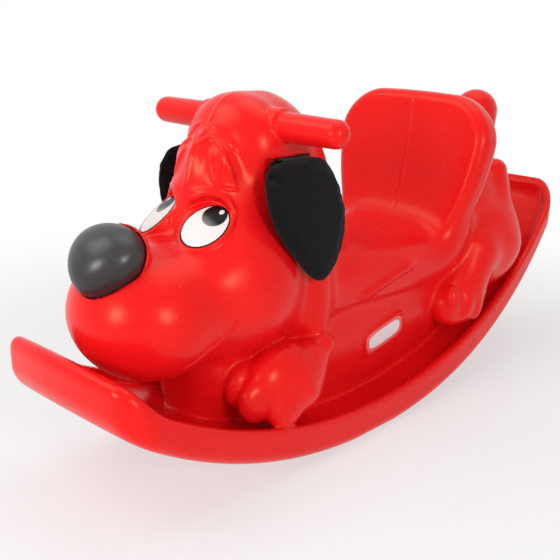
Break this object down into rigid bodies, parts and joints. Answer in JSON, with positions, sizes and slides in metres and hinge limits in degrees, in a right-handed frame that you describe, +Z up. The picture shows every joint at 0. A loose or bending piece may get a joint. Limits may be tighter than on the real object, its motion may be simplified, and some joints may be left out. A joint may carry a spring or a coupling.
{
  "type": "rocking dog",
  "caption": "Moulded ride-on dog in a curved rocker tray, with side grips, a high seat back, an egg-shaped nose and padded cloth ears that swing from clamped tabs.",
  "frame": {"origin": "on the floor, at the middle of the rocker's length and width", "axes": "+Z up; the dog looks along -Y, so +Y runs to its tail; +X is the dog's left side"},
  "size_m": [0.31, 0.8832, 0.433],
  "materials": {
    "red_shell": "gloss",
    "nose_black": "satin",
    "label_white": "gloss",
    "plug_red": "satin",
    "eye_white": "gloss",
    "pupil_dark": "gloss",
    "ear_cloth": "matt",
    "ear_wadding": "matt",
    "strip_black": "satin",
    "screw_steel": "satin"
  },
  "bodies": {
    "dog": {"body_shell": "red_shell", "ear_screws_left": "screw_steel", "ear_screws_right": "screw_steel", "ear_strip_left": "strip_black", "ear_strip_right": "strip_black", "ear_tab_left": "ear_cloth", "ear_tab_right": "ear_cloth", "eye_white_left": "eye_white", "eye_white_right": "eye_white", "label_left": "label_white", "nose_cap": "nose_black", "pupil_left": "pupil_dark", "pupil_right": "pupil_dark", "vent_plug": "plug_red"},
    "ear_left": {"ear_cover_left": "ear_cloth", "ear_filling_left": "ear_wadding"},
    "ear_right": {"ear_cover_right": "ear_cloth", "ear_filling_right": "ear_wadding"}
  },
  "joints": [
    {"name": "ear_left_flap", "type": "hinge", "parent": "dog", "child": "ear_left", "pos_m": [0.082, -0.156, 0.3705], "axis": [0, -1, 0], "range_deg": [0, 75]},
    {"name": "ear_right_flap", "type": "hinge", "parent": "dog", "child": "ear_right", "pos_m": [-0.082, -0.156, 0.3705], "axis": [0, 1, 0], "range_deg": [0, 75]}
  ]
}
